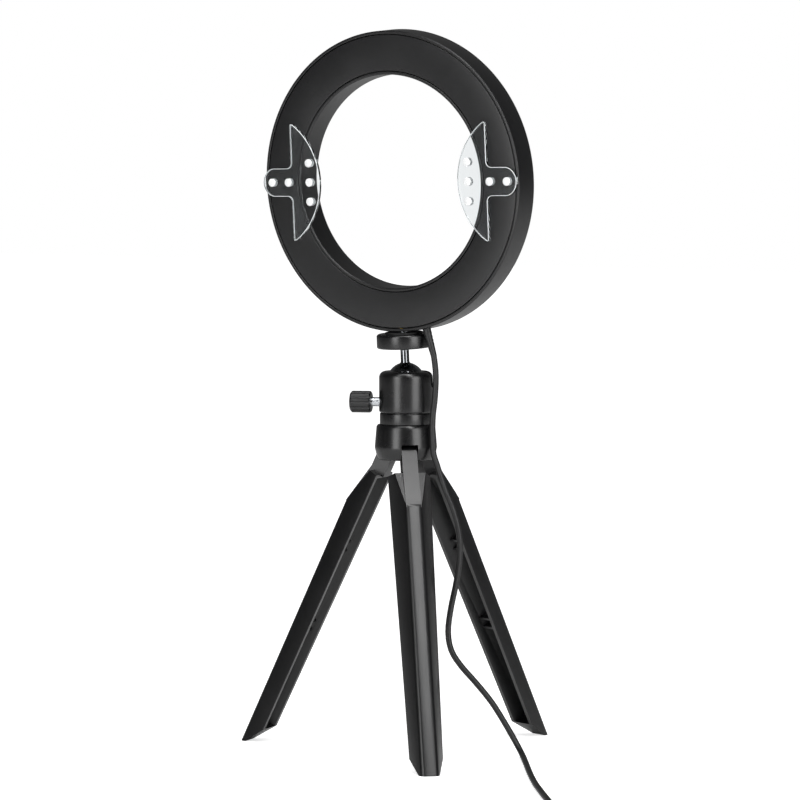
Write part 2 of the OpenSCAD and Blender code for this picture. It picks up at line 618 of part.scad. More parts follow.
module button(k) laid() translate([remote_at[0] + k*button_pitch, remote_at[1], 0]) {
    translate([0, 0, remote_wall + 2.2 + button_travel + 0.1])
        cylinder(r = button_r, h = remote_h + button_rise - remote_wall - 2.2 - button_travel - 0.1);
}
module power_button() color("#c23b30") button(-1);
module brighter_button() color("#d6d7d8") button(0);
module dimmer_button() color("#d6d7d8") button(1);

// ---- plug ----
module plug_lead() color("#1a1a1c") laid() tube(plug_route, cord_r - 0.06, [0.3, 0.2, 1]);
module at_plug() translate([plug_at[0], plug_at[1], plug_h/2]) rotate([0, 90, 0]) rotate([0, 0, 90]) children();
module usb_relief() color("#141415") laid() at_plug() difference() {
    translate([0, 0, -usb_relief_len]) cylinder(r1 = cord_r + 0.25, r2 = 3, h = usb_relief_len);
    translate([0, 0, -usb_relief_len - 1]) cylinder(r = cord_r, h = usb_relief_len);
}
module usb_overmould() color("#1c1c1e") laid() at_plug() difference() {
    linear_extrude(plug_len) hull() for (x = [-1, 1], y = [-1, 1])
        translate([x*(plug_w/2 - 1.6), y*(plug_h/2 - 1.6)]) circle(r = 1.6, $fn = 24);
    translate([-usb_w/2 - seat_fit, -usb_h/2 - seat_fit, plug_len - usb_hold]) cube([usb_w + 2*seat_fit, usb_h + 2*seat_fit, usb_hold + 1]);
}
module usb_shell() color("#c9ccd0") laid() at_plug() difference() {
    translate([-usb_w/2, -usb_h/2, plug_len - usb_hold]) cube([usb_w, usb_h, usb_len]);
    translate([-usb_w/2 + usb_wall, -usb_h/2 + usb_wall, plug_len - usb_hold - 1]) cube([usb_w - 2*usb_wall, usb_h - 2*usb_wall, usb_len + 2]);
    // the square windows that the socket's springs catch in
    for (x = [-1, 1]) translate([x*2.9 - 1.1, 0, plug_len + 5]) cube([2.2, usb_h, 2.2]);
}
module usb_tongue() color("#f0efe9") laid() at_plug()
    translate([-usb_w/2 + usb_wall, -usb_h/2 + usb_wall, plug_len - usb_hold]) cube([usb_w - 2*usb_wall, 1.9, usb_len - 0.6]);

ring_housing();
rear_plate();
diffuser();
led_board();
leds();
board_screws();
tripod_insert();
bracket_left();
bracket_right();
bracket_left_studs();
bracket_right_studs();
cord_relief();
ball_stem();
platform();
platform_pad();
mount_screw();
socket_housing();
ball_seat();
head_base();
base_screw();
lock_knob();
knob_stud();
hub();
leg_pins();
leg_front();
leg_left();
leg_right();
power_cord();
cord_coil();
coil_tie();
remote_base();
remote_cover();
remote_board();
remote_relief_in();
remote_relief_out();
power_button();
brighter_button();
dimmer_button();
plug_lead();
usb_relief();
usb_overmould();
usb_shell();
usb_tongue();
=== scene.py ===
# %% [markdown]
# # A desk ring light
# A ring lamp of black ABS stands on a small ball head and a folding tripod, and a thin USB lead
# hangs from it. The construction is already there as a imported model, so this lesson only adds
# what the eye sees: rounded mouldings, clear acrylic, metal, and a lead of its real length.
# Everything is in metres, in the model's own frame, and every place comes from that frame.

# %% The frame
import json
import math

import bmesh
import bpy
import numpy as np
from mathutils import Matrix, Vector


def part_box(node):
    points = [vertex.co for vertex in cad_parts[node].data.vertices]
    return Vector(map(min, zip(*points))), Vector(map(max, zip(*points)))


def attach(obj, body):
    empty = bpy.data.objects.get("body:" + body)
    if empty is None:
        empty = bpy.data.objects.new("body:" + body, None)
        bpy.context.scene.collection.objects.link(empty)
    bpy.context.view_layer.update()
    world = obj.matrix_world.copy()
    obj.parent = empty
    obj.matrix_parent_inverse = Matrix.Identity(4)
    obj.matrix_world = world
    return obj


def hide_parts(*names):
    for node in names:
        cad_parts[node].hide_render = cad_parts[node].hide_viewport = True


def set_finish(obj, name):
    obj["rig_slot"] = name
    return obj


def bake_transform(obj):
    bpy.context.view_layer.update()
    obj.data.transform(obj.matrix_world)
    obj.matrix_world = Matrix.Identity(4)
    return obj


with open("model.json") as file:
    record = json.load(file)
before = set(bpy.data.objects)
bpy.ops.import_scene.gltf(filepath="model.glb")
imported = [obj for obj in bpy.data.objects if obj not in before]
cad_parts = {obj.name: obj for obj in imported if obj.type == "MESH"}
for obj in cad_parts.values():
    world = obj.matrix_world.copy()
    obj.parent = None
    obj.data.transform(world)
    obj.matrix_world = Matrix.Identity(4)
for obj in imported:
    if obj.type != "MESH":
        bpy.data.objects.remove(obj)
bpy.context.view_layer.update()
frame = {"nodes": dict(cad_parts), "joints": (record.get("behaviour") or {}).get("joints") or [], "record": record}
MM = 0.001
BODY = {n: b for b, names in frame["record"]["behaviour"]["bodies"].items() for n in names}
SLOT = {s["node"]: s["material_slot"] for s in frame["record"]["subparts"]}
JOINT = {j["name"]: j for j in frame["joints"]}

# %% [markdown]
# ## Three frames of reference
# The lamp is turned a few degrees in its socket, so its parts are easiest to draw upright about
# their own axis and then to place. The ball's centre is where the tilt joint is, and the stem's
# direction is the axis of the turn joint, which gives both small angles.

# %% The lamp's frames
ball_centre = np.array(JOINT["ball_tilt"]["pos_m"], float)
stem_axis = np.array(JOINT["ring_turn"]["axis"], float)
stem_axis /= np.linalg.norm(stem_axis)
lamp_tilt = math.asin(stem_axis[1])
lamp_lean = math.atan2(stem_axis[0], stem_axis[2])
LAMP_TURN = Matrix.Rotation(lamp_lean, 4, "Y") @ Matrix.Rotation(-lamp_tilt, 4, "X")
LAMP = Matrix.Translation(Vector(ball_centre)) @ LAMP_TURN
ring_low, ring_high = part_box("ring_housing")
ring_centre = (ring_low + ring_high) / 2
RING = Matrix.Translation(ring_centre) @ LAMP_TURN
RING_R = 80 * MM
RING_IN = 56.2 * MM
RING_DEPTH = 15.1 * MM
UPRIGHT = Matrix.Identity(4)
LAY_TURN = math.radians(213)
LAID = Matrix.Rotation(LAY_TURN, 4, "Z")
print("tilt", round(math.degrees(lamp_tilt), 2), "lean", round(math.degrees(lamp_lean), 2))

# %% [markdown]
# ## The camera
# A long lens stands far back and a little above the ball head, behind the lamp and to one side,
# so the lamp's back is seen. The direction is worked out as a right, an up and a forward vector.

# %% Camera
CAMERA_BACK = 2.3111
CAMERA_HEIGHT = 0.3442
CAMERA_PITCH = math.radians(3.88)
CAMERA_YAW = math.radians(-0.078)
CAMERA_LENS = 195.8
CAMERA_SENSOR = 36
forward = np.array([math.sin(CAMERA_YAW) * math.cos(CAMERA_PITCH),
                    math.cos(CAMERA_YAW) * math.cos(CAMERA_PITCH), -math.sin(CAMERA_PITCH)])
right = np.cross(forward, [0, 0, 1.0])
right /= np.linalg.norm(right)
up = np.cross(right, forward)
pose = Matrix.Identity(4)
for column, vector in enumerate((right, up, -forward)):
    for row in range(3):
        pose[row][column] = vector[row]
pose.translation = Vector((0, -CAMERA_BACK, CAMERA_HEIGHT))
camera_data = bpy.data.cameras.new("camera")
camera_data.sensor_width = CAMERA_SENSOR
camera_data.lens = CAMERA_LENS
camera = bpy.data.objects.new("camera", camera_data)
bpy.context.scene.collection.objects.link(camera)
camera.matrix_world = LAID @ pose
bpy.context.scene.camera = camera
print("camera at", [round(x, 3) for x in camera.matrix_world.translation])

# %% [markdown]
# ## Helpers for surfaces
# A surface is a grid of points: one parameter runs along a profile, the other round an axis or
# along a path. numpy works out the whole grid at once, and `from_pydata` puts it into a mesh.

# %% Mesh helpers
def grid_faces(rows, columns, close_rows, close_columns):
    """Quads of a grid of rows x columns points, joined round where a direction is closed."""
    i = np.arange(rows if close_rows else rows - 1)[:, None]
    j = np.arange(columns if close_columns else columns - 1)[None, :]
    nexti, nextj = (i + 1) % rows, (j + 1) % columns
    quads = np.stack(np.broadcast_arrays(i * columns + j, i * columns + nextj,
                                         nexti * columns + nextj, nexti * columns + j), -1)
    return quads.reshape(-1, 4)


def new_piece(name, points, faces, place=UPRIGHT, smooth=30):
    """A mesh object at the origin whose vertices are already placed; sharp past `smooth` degrees."""
    mesh = bpy.data.meshes.new(name)
    mesh.from_pydata(np.asarray(points, float).reshape(-1, 3), [], [list(map(int, f)) for f in faces])
    mesh.transform(place)
    piece = bpy.data.objects.new(name, mesh)
    bpy.context.scene.collection.objects.link(piece)
    tidy_mesh(mesh, smooth)
    return piece


def tidy_mesh(mesh, smooth):
    """Merges doubles, closes poles, points the faces outwards and marks the sharp edges."""
    work = bmesh.new()
    work.from_mesh(mesh)
    bmesh.ops.remove_doubles(work, verts=work.verts, dist=2e-6)
    bmesh.ops.recalc_face_normals(work, faces=work.faces)
    for face in work.faces:
        face.smooth = True
    for edge in work.edges:
        edge.smooth = not (len(edge.link_faces) == 2 and edge.calc_face_angle(0) > math.radians(smooth))
    work.to_mesh(mesh)
    work.free()


def corners(points, radii, steps=5):
    """A profile with its corners rounded: each corner becomes an arc that touches both sides."""
    points = [np.array(p, float) for p in points]
    out = []
    for k, (p, r) in enumerate(zip(points, radii)):
        a, b = points[k - 1], points[(k + 1) % len(points)]
        if r <= 0:
            out.append(p)
            continue
        u, v = (a - p) / np.linalg.norm(a - p), (b - p) / np.linalg.norm(b - p)
        half = math.acos(np.clip(u @ v, -1, 1)) / 2
        back = r / math.tan(half)
        centre = p + (u + v) / np.linalg.norm(u + v) * r / math.sin(half)
        first, last = p + u * back - centre, p + v * back - centre
        sweep = math.acos(np.clip(first @ last / r ** 2, -1, 1))
        for t in np.linspace(0, 1, steps + 1):
            s = (math.sin((1 - t) * sweep) * first + math.sin(t * sweep) * last) / math.sin(sweep)
            out.append(centre + s)
    return np.array(out)


def lathe(name, profile, place, axis="Z", turns=160, closed=True, smooth=30):
    """A profile of (radius, height) turned about an axis: x = r cos a, y = r sin a, z = h."""
    profile = np.asarray(profile, float)
    angle = np.linspace(0, 2 * math.pi, turns, endpoint=False)
    r, h = profile[:, 0][:, None], profile[:, 1][:, None]
    points = np.stack([r * np.cos(angle), r * np.sin(angle), h + 0 * angle], -1)
    if axis == "Y":
        points = points[..., [0, 2, 1]]
    return new_piece(name, points, grid_faces(len(profile), turns, closed, True), place, smooth)


def tube_along(name, path, radius, sides=16, place=UPRIGHT, ends=True):
    """A tube of circles square to a path; the circles' frame is carried along without twist."""
    path = np.asarray(path, float)
    tangent = np.gradient(path, axis=0)
    tangent /= np.linalg.norm(tangent, axis=1)[:, None]
    side = np.cross(tangent[0], [0.3, 0.5, 0.8])
    sides_at = []
    for t in tangent:
        side = side - t * (side @ t)
        side /= np.linalg.norm(side)
        sides_at.append(side)
    u = np.array(sides_at)
    v = np.cross(tangent, u)
    a = np.linspace(0, 2 * math.pi, sides, endpoint=False)
    radius = np.broadcast_to(radius, len(path))[:, None, None]
    points = path[:, None, :] + radius * (u[:, None, :] * np.cos(a)[None, :, None]
                                          + v[:, None, :] * np.sin(a)[None, :, None])
    faces = [list(f) for f in grid_faces(len(path), sides, False, True)]
    if ends:
        faces += [list(range(sides))[::-1], list(range((len(path) - 1) * sides, len(path) * sides))]
    return new_piece(name, points, faces, place, 50)


def curve_through(route, step):
    """A Catmull-Rom curve: between b and c it blends the four nearest points a, b, c, d."""
    pts = [np.array(p, float) for p in route]
    out = []
    for i in range(len(pts) - 1):
        a, b, c, d = pts[max(i - 1, 0)], pts[i], pts[i + 1], pts[min(i + 2, len(pts) - 1)]
        n = max(1, round(float(np.linalg.norm(c - b)) / step))
        t = (np.arange(n) / n)[:, None]
        out.append(0.5 * (2 * b + (c - a) * t + (2 * a - 5 * b + 4 * c - d) * t ** 2
                          + (3 * b - a - 3 * c + d) * t ** 3))
    return np.concatenate(out + [pts[-1][None]])


# %% [markdown]
# ## The lead
# The USB lead is a 3.2 mm PVC cord, about 1.27 m from the lamp to the hand control. It leaves the
# ring beside the screw, hangs past the head, touches the surface in front of the stand and runs
# on to a round coil of nearly seven turns, where the rest of its length is put away. The free stretch
# follows listed points, and a loop works out the coil's turns: a flat spiral inwards, and a
# second one on top of it outwards.

# %% The lead's route
CORD_D = 3.2 * MM
CORD_ROUTE = [
    (14.9, -14.6, 210.8), (15.7, -14.1, 204), (15.8, -13.2, 197), (15.2, -12.3, 187.5),
    (14.4, -12.1, 181), (14.1, -12.1, 174), (14.3, -12.4, 166), (14.7, -12.5, 159.5),
    (16.6, -12.5, 153.5), (20.6, -12.9, 141), (25.2, -13.8, 129.5), (28.2, -13.9, 117),
    (28.5, -14.3, 105), (26.7, -15.2, 91.5), (23.8, -16.5, 77.5), (22.4, -17.9, 65.5),
    (24, -19.4, 56), (29, -21, 48), (37, -22.5, 39), (45.5, -23, 28.5), (53, -23, 16.5),
    (58.2, -25, 7.5), (61, -31, 2.8), (62, -42, 1.6), (62.8, -65, 1.6), (63.8, -95, 1.6),
    (65.5, -128, 1.6), (68.3, -161, 1.6), (71.2, -192, 1.6), (72, -218, 1.6)]
COIL_AT = (95.4, -243)
COIL_EXIT = [(88, -218.5, 4.9), (76, -222.5, 5.3), (64, -229, 3.4), (56, -238, 2.4),
             (48.5, -246.6, 4.2), (44, -248, 5), (39, -248, 5)]
TURN_R = 23.5
TURN_PITCH = 3.12
TURNS_IN, TURNS_OUT = 3.5, 3.3
LAYER_RISE = 3.25
TURN_POINTS = 3 * 36


def coil_turns():
    """Spiral in on the surface from 180 degrees, then out on top of it, ending near 107 degrees."""
    down = np.linspace(0, TURNS_IN, TURN_POINTS)
    r_down = TURN_R - down * TURN_PITCH
    z_down = np.full_like(down, 1.6)
    over = np.linspace(0, TURNS_OUT, TURN_POINTS)
    r_over = r_down[-1] + over * (TURN_R - 0.3 - r_down[-1]) / TURNS_OUT
    climb = np.clip(over / 0.25, 0, 1)
    z_over = 1.6 + LAYER_RISE * climb ** 2 * (3 - 2 * climb)
    turn = np.concatenate([down, TURNS_IN + over[1:]])
    r = np.concatenate([r_down, r_over[1:]])
    z = np.concatenate([z_down, z_over[1:]])
    a = math.pi + 2 * math.pi * turn
    return np.stack([COIL_AT[0] + r * np.cos(a), COIL_AT[1] + r * np.sin(a), z], -1)


GLAND_X, GLAND_Y, GLAND_LEAN = -16.6 * MM, 3.3 * MM, math.radians(15)
SLEEVE_LEN = 15.2 * MM
gland = np.array([GLAND_X, GLAND_Y, -math.sqrt(RING_R ** 2 - GLAND_X ** 2)])
lean = np.array([-math.sin(GLAND_LEAN), 0, -math.cos(GLAND_LEAN)])
in_sleeve = [tuple(RING @ Vector(gland + (SLEEVE_LEN - back) * lean)) for back in (4 * MM, 1.6 * MM)]
turns = coil_turns()
cord_path = np.concatenate([curve_through(CORD_ROUTE + [tuple(turns[0])], 3.0)[:-1], turns[:-1],
                            curve_through([tuple(turns[-1])] + COIL_EXIT[1:], 3.0)]) * MM
cord_path = np.concatenate([in_sleeve, (np.array(LAID.to_3x3()) @ cord_path.T).T])
power_cord = tube_along("power_cord_sheath", cord_path, CORD_D / 2)
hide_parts("power_cord", "cord_coil")
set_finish(power_cord, "cord_pvc")
PLUG_ROUTE = [(-13, -248, 5), (-20, -248, 5), (-27, -248, 4.5), (-34, -249.6, 3.4), (-40.5, -254.5, 2.2),
              (-43.3, -262, 1.6), (-41.5, -270, 1.8), (-35, -276, 2.6), (-27, -278, 3.2),
              (-18, -278, 3.8), (-11, -278, 4), (-5.5, -278, 4)]
plug_path = (np.array(LAID.to_3x3()) @ (curve_through(PLUG_ROUTE, 2.0) * MM).T).T
plug_lead = tube_along("plug_lead_sheath", plug_path, CORD_D / 2)
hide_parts("plug_lead")
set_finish(plug_lead, "cord_pvc")

# %% [markdown]
# ## The sleeve at the ring
# A soft sleeve keeps the lead from kinking where it leaves the ring. It tapers to the lead's own
# diameter.

# %% Sleeve
SLEEVE_R, SLEEVE_TAPER, RIB_HEIGHT = 2.2 * MM, 0.58 * MM, 0.1 * MM
along = np.linspace(-2 * MM, SLEEVE_LEN, 28)
sleeve_r = SLEEVE_R - SLEEVE_TAPER * np.clip(along / SLEEVE_LEN, 0, 1)
ribbed = (along > 2 * MM) & (along < 9 * MM)
sleeve_r = np.where(ribbed, sleeve_r + RIB_HEIGHT * np.sin(along / MM * 3.2), sleeve_r)
sleeve_path = gland + along[:, None] * lean
cord_sleeve = tube_along("cord_sleeve", sleeve_path, sleeve_r, 24, RING)
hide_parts("cord_relief")
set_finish(cord_sleeve, "cord_pvc")
print("sleeve", round(SLEEVE_LEN, 4), "m long")

# %% [markdown]
# ## Rounded copies of the construction's mouldings
# A moulding never has a knife edge. Where the construction already has the right shape, its mesh
# is copied, its loose triangles are joined into flat faces, and a small bevel rounds each edge.

# %% Rounded copies
def stands_for(piece, node):
    """Lets a piece stand for a CAD node, with that node's slot and body."""
    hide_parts(node)
    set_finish(piece, SLOT[node])
    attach(piece, BODY[node])
    return piece


def softened(node, width_mm, segments=2, angle=35):
    """A copy of a CAD node with merged points, dissolved flats and edges rounded by width_mm."""
    source = frame["nodes"][node]
    mesh = source.data.copy()
    mesh.name = node + "_skin"
    mesh.transform(source.matrix_world)
    mesh.materials.clear()
    work = bmesh.new()
    work.from_mesh(mesh)
    bmesh.ops.remove_doubles(work, verts=work.verts, dist=3e-6)
    bmesh.ops.dissolve_limit(work, angle_limit=math.radians(0.6), verts=work.verts, edges=work.edges)
    for face in work.faces:
        face.smooth = True
    for edge in work.edges:
        edge.smooth = not (len(edge.link_faces) == 2 and edge.calc_face_angle(0) > math.radians(angle))
    work.to_mesh(mesh)
    work.free()
    if "custom_normal" in mesh.attributes:
        mesh.attributes.remove(mesh.attributes["custom_normal"])
    piece = bpy.data.objects.new(node + "_skin", mesh)
    bpy.context.scene.collection.objects.link(piece)
    if width_mm:
        bevel = piece.modifiers.new("rounded edges", "BEVEL")
        bevel.width = width_mm * MM
        bevel.segments = segments
        bevel.limit_method = "ANGLE"
        bevel.angle_limit = math.radians(angle)
        bevel.use_clamp_overlap = True
        bevel.harden_normals = True
    return stands_for(piece, node)


SKINS = {n: softened(n, w) for n, w in {
    "leg_front": 0.5, "leg_left": 0.5, "leg_right": 0.5, "hub": 0.35, "lock_knob": 0.25,
    "remote_base": 0.5, "remote_cover": 0.8, "usb_overmould": 0.4, "usb_shell": 0.08,
    "power_button": 0.4, "brighter_button": 0.4, "dimmer_button": 0.4, "coil_tie": 0.15}.items()}
print("rounded copies", len(SKINS))

# %% [markdown]
# ## The ring's shell
# The shell is one moulding: two round walls, a web between them, and a narrow rim at each edge.
# A turned profile gives it true rims with a soft radius, which is where black plastic catches
# the light.

# %% Ring shell
def turned(name, node, profile, place, axis="Z", turns=160, closed=True, smooth=30):
    """A lathe piece that stands for a CAD node, with its slot and its body."""
    return stands_for(lathe(name, profile, place, axis, turns, closed, smooth), node)


half = RING_DEPTH / 2
WALL = 2 * MM
DRAFT = 0.3 * MM
web_back, web_front = 3.1 * MM, 1.6 * MM
shell_profile = corners(
    [(RING_R, -half), (RING_R - DRAFT, half), (RING_R - WALL, half), (RING_R - WALL, web_back),
     (RING_IN + WALL, web_back), (RING_IN + WALL, half), (RING_IN + DRAFT, half), (RING_IN, -half),
     (RING_IN + WALL, -half), (RING_IN + WALL, web_front), (RING_R - WALL, web_front),
     (RING_R - WALL, -half)],
    np.array([0.8, 0.7, 0.25, 0, 0, 0.25, 0.7, 0.8, 0.25, 0, 0, 0.25]) * MM)
turned("ring_shell", "ring_housing", shell_profile, RING, "Y", 256)
print("ring shell", len(shell_profile), "profile points")

# %% [markdown]
# The rear plate is a separate flat ring that clips in between the rims, with a fine shadow line
# all round. The opal diffuser sits the same way on the lit side.

# %% Rear plate and diffuser
GROOVE = 0.35 * MM
PLATE_DROP = 0.3 * MM


def flat_ring(name, node, low, high, edge):
    """A flat ring between the rims from y = low to y = high, its edges rounded by `edge`."""
    inner, outer = RING_IN + WALL + GROOVE, RING_R - WALL - GROOVE
    profile = corners([(outer, low), (outer, high), (inner, high), (inner, low)], [edge] * 4)
    return turned(name, node, profile, RING, "Y", 256)


PLATE_T, DIFFUSER_T = 1.6 * MM, 1.5 * MM
plate_top, opal_low = half - PLATE_DROP, -half + PLATE_DROP
flat_ring("rear_plate_skin", "rear_plate", plate_top - PLATE_T, plate_top, 0.3 * MM)
flat_ring("diffuser_skin", "diffuser", opal_low, opal_low + DIFFUSER_T, 0.35 * MM)
print("rear plate from", round(plate_top - PLATE_T, 5), "to", round(plate_top, 5), "m")

# %% [markdown]
# ## The clear brackets
# Each bracket is laser-cut from 2 mm acrylic: a lens shape across the edge of the hole, with a
# tab that reaches over the ring. The outline is an arc, a straight edge and a round-ended tab,
# and the sheet gets a thin polished bevel whose faces carry a painted glow, so that its edges light up.

# %% Clear brackets
BRACKET_Y = half - PLATE_DROP + 1 * MM
BRACKET_T = 2 * MM
EDGE_X, TIP_X, ARC_R = 61.6 * MM, 43.4 * MM, 37.4 * MM
TAB_END, TAB_HALF, FILLET = 79.7 * MM, 7.5 * MM, 3 * MM
TAB_ROUND, NOSE_CUT = 7 * MM, 2.4 * MM
EDGE_BEVEL = 0.28 * MM
TAB_STUDS = [73.9 * MM, 63.4 * MM]
LENS_STUD_X, LENS_STUD_PITCH = 49.9 * MM, 10.3 * MM
STUD_HEAD_R, STUD_SHANK_R = 2.2 * MM, 1.15 * MM


def bracket_outline():
    """Half of the outline as points (x, z), from the lens's apex round to the tab's end."""
    centre = TIP_X + ARC_R
    tip_z = math.sqrt(ARC_R ** 2 - (centre - EDGE_X) ** 2)
    reach = math.atan2(tip_z, EDGE_X - centre)
    arc = np.linspace(math.pi, reach, 40)
    lens = np.stack([centre + ARC_R * np.cos(arc), ARC_R * np.sin(arc)], -1)
    cut = lens[np.linalg.norm(lens - lens[-1], axis=1) > NOSE_CUT]
    p, q, r = cut[-1], lens[-1], np.array([EDGE_X, tip_z - NOSE_CUT])
    t = np.linspace(0, 1, 7)[1:, None]
    nose = (1 - t) ** 2 * p + 2 * t * (1 - t) * q + t ** 2 * r
    a = np.linspace(math.pi, 1.5 * math.pi, 7)
    fillet = np.stack([EDGE_X + FILLET + FILLET * np.cos(a), TAB_HALF + FILLET + FILLET * np.sin(a)], -1)
    b = np.linspace(math.pi / 2, 0, 14)
    end = np.stack([TAB_END - TAB_ROUND + TAB_ROUND * np.cos(b), TAB_HALF * np.sin(b)], -1)
    return np.concatenate([cut, nose, fillet, end])


def bracket_piece(name, node, side):
    """The outline as a face with the studs' holes left to the studs, given its thickness."""
    half_line = bracket_outline()
    outline = np.concatenate([half_line, half_line[1:-1][::-1] * [1, -1]])
    if side < 0:
        outline = outline[::-1] * [-1, 1]
    n = len(outline)
    front = np.stack([outline[:, 0], np.full(n, BRACKET_Y), outline[:, 1]], -1)
    back = front + [0, BRACKET_T, 0]
    around = [[k, (k + 1) % n, n + (k + 1) % n, n + k] for k in range(n)]
    faces = around + [list(range(n))[::-1], list(range(n, 2 * n))]
    piece = new_piece(name, np.concatenate([front, back]), faces, RING, 40)
    for polygon in piece.data.polygons:
        polygon.material_index = int(len(polygon.vertices) == 4)
    # The bevel's faces take the second finish, a painted glow along the sheet's edges.
    bevel = piece.modifiers.new("edge band with painted glow", "BEVEL")
    bevel.width = EDGE_BEVEL
    bevel.segments = 1
    bevel.material = 1
    bevel.limit_method = "ANGLE"
    bevel.angle_limit = math.radians(50)
    return stands_for(piece, node)


brackets = [bracket_piece("bracket_sheet_left", "bracket_left", 1),
            bracket_piece("bracket_sheet_right", "bracket_right", -1)]
print("brackets", [len(b.data.vertices) for b in brackets], "points")

# %% [markdown]
# The studs are little turned buttons of milky plastic. Two hold each bracket to the rear plate,
# and three stand in the lens.

# %% Studs
def stud_profile(foot):
    """Radius and height of one stud: a domed head, the sheet's thickness, and a foot under it."""
    top = BRACKET_Y + BRACKET_T
    dome = [(STUD_HEAD_R * math.cos(a), top + 0.45 * MM + 0.55 * MM * math.sin(a))
            for a in np.linspace(0, math.pi / 2, 6)]
    return [(0, foot), (2.0 * MM, foot), (STUD_HEAD_R, foot + 0.2 * MM),
            (STUD_HEAD_R, BRACKET_Y - 0.01 * MM), (STUD_SHANK_R, BRACKET_Y), (STUD_SHANK_R, top),
            (STUD_HEAD_R, top + 0.01 * MM)] + dome


def stud_group(name, node, side):
    """Five studs of one bracket in one mesh."""
    points, faces = [], []
    turns = 32
    places = [(x, 0, half - PLATE_DROP + 0.01 * MM) for x in TAB_STUDS]
    places += [(LENS_STUD_X, k * LENS_STUD_PITCH, BRACKET_Y - 1 * MM) for k in (-1, 0, 1)]
    angle = np.linspace(0, 2 * math.pi, turns, endpoint=False)
    for x, z, foot in places:
        profile = np.array(stud_profile(foot))
        grid = np.stack([side * x + profile[:, 0][:, None] * np.cos(angle),
                         profile[:, 1][:, None] + 0 * angle,
                         z + profile[:, 0][:, None] * np.sin(angle)], -1).reshape(-1, 3)
        faces.append(grid_faces(len(profile), turns, False, True) + sum(len(p) for p in points))
        points.append(grid)
    piece = new_piece(name, np.concatenate(points), np.concatenate(faces), RING, 35)
    return stands_for(piece, node)


for side_name, side in (("left", 1), ("right", -1)):
    group = stud_group("bracket_buttons_" + side_name, "bracket_" + side_name + "_studs", side)
    print(group.name, len(group.data.vertices), "points")

# %% [markdown]
# ## The ball head
# The ball and its stem are turned from one bar and black-chromed. The platform, the socket and
# the base ring are glossy black mouldings with small rounded rims. The socket has a notch in its
# lip, opposite the knob, that lets the stem drop sideways: here its lip follows the angle round
# the axis, so the profile is lowered smoothly inside the notch.

# %% Ball, stem and platform
BALL_R = 10.25 * MM
PLATFORM_LIFT, PLATFORM_H, PLATFORM_R = 18.1 * MM, 7.6 * MM, 14.7 * MM
STEM_R = 2.3 * MM
a = np.linspace(-math.pi / 2, math.asin(math.sqrt(1 - (STEM_R / BALL_R) ** 2)) - 0.06, 40)
stem = [(STEM_R + 0.25 * MM, BALL_R * 0.985), (STEM_R, BALL_R + 0.5 * MM), (STEM_R, PLATFORM_LIFT - 1.2 * MM),
        (STEM_R + 0.5 * MM, PLATFORM_LIFT - 0.5 * MM), (STEM_R + 0.6 * MM, PLATFORM_LIFT), (0, PLATFORM_LIFT)]
ball_profile = np.concatenate([np.stack([BALL_R * np.cos(a), BALL_R * np.sin(a)], -1), np.array(stem)])
turned("ball_and_stem", "ball_stem", ball_profile, LAMP, closed=False)
platform_profile = corners(
    [(0, 0), (PLATFORM_R, 0), (PLATFORM_R, PLATFORM_H), (0, PLATFORM_H)],
    np.array([0, 0.9, 1.3, 0]) * MM) + [0, PLATFORM_LIFT]
turned("platform_skin", "platform", platform_profile, LAMP, closed=False)
print("ball", 2 * BALL_R, "m across, platform", round(2 * PLATFORM_R, 4), "m across")

# %% [markdown]
# ## The socket and its base
# The housing that grips the ball is a moulded cup with a rounded rim, and a plain base ring joins
# it to the hub. The cup is turned as one profile, and the notch is cut by lowering its points.

# %% Socket housing
LIP = 4.9 * MM
SOCKET_R, GROOVE_Z = 14.3 * MM, 180.6 * MM
SOCKET_TOP = ball_centre[2] + LIP + 0.7 * MM
KNOB_AXIS = np.array(JOINT["lock_knob_turn"]["axis"], float)
KNOB_TURN = math.atan2(KNOB_AXIS[1], KNOB_AXIS[0])
NOTCH_HALF = 3.1 * MM


def socket_piece():
    """The socket's profile turned about Z; within the notch its upper part sinks to the ball's centre."""
    outside = corners([(SOCKET_R - 1.4 * MM, GROOVE_Z + 0.4 * MM), (SOCKET_R, GROOVE_Z + 0.4 * MM),
                       (SOCKET_R, SOCKET_TOP), (9.2 * MM, SOCKET_TOP),
                       (10.4 * MM, ball_centre[2] - 2 * MM), (11 * MM, GROOVE_Z + 3 * MM)],
                      np.array([0, 0.9, 3.4, 0.5, 0, 0]) * MM, 8)
    fine = np.concatenate([np.linspace(p, q, 7)[:-1] for p, q in zip(outside, np.roll(outside, -1, axis=0))])
    turns = 288
    angle = np.linspace(0, 2 * math.pi, turns, endpoint=False)
    r, z = fine[:, 0][:, None], fine[:, 1][:, None]
    away = np.abs(r * np.sin(angle - KNOB_TURN - math.pi))
    facing = np.cos(angle - KNOB_TURN - math.pi) > 0
    floor_z = ball_centre[2] - np.sqrt(np.clip(NOTCH_HALF ** 2 - away ** 2, 0, None))
    inside = facing & (away < NOTCH_HALF)
    z_cut = np.where(inside, np.minimum(z, floor_z), z)
    points = np.stack([r * np.cos(angle), r * np.sin(angle), z_cut], -1)
    piece = new_piece("socket_skin", points, grid_faces(len(fine), turns, True, True), UPRIGHT, 28)
    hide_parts("socket_housing")
    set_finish(piece, "gloss_abs")
    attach(piece, "stand")
    return piece


